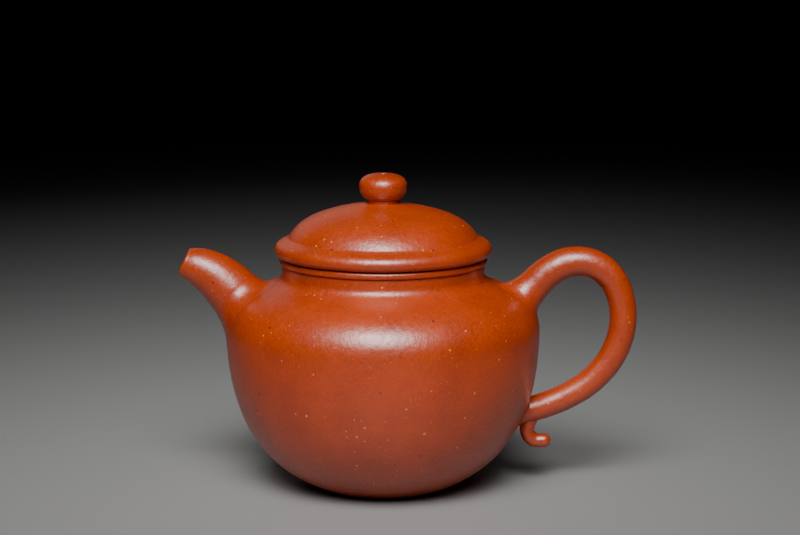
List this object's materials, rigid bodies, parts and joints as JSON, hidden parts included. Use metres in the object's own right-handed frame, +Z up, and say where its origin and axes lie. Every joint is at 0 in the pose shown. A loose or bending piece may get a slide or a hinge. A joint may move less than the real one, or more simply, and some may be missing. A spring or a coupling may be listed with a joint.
{
  "type": "teapot",
  "caption": "Small round unglazed clay teapot with a curved spout, loop handle with a curled tail, and a lift-off domed cap lid with a ball knob.",
  "frame": {"origin": "centre of the ring that the pot stands on, on the table plane", "axes": "+Z up through the knob, -X towards the spout, +X towards the handle"},
  "size_m": [0.1149, 0.0784, 0.079],
  "materials": {
    "red_clay": "unglazed, burnished to a satin, with fine sand grains"
  },
  "bodies": {
    "pot": {"body_wall": "red_clay", "base_disc": "red_clay", "shoulder_disc": "red_clay", "neck_ring": "red_clay", "mouth_bead": "red_clay", "spout": "red_clay", "spout_strainer": "red_clay", "handle": "red_clay", "handle_tail": "red_clay"},
    "lid_seat": {"lid_flange": "red_clay"},
    "lid": {"lid_dome": "red_clay", "lid_rim": "red_clay", "knob_collar": "red_clay", "knob": "red_clay"}
  },
  "joints": [
    {"name": "lid_lift", "type": "slide", "parent": "pot", "child": "lid_seat", "axis": [0, 0, 1], "range_m": [0, 0.04]},
    {"name": "lid_turn", "type": "hinge", "parent": "lid_seat", "child": "lid", "pos_m": [0, 0, 0.0583], "axis": [0, 0, 1], "continuous": true}
  ]
}
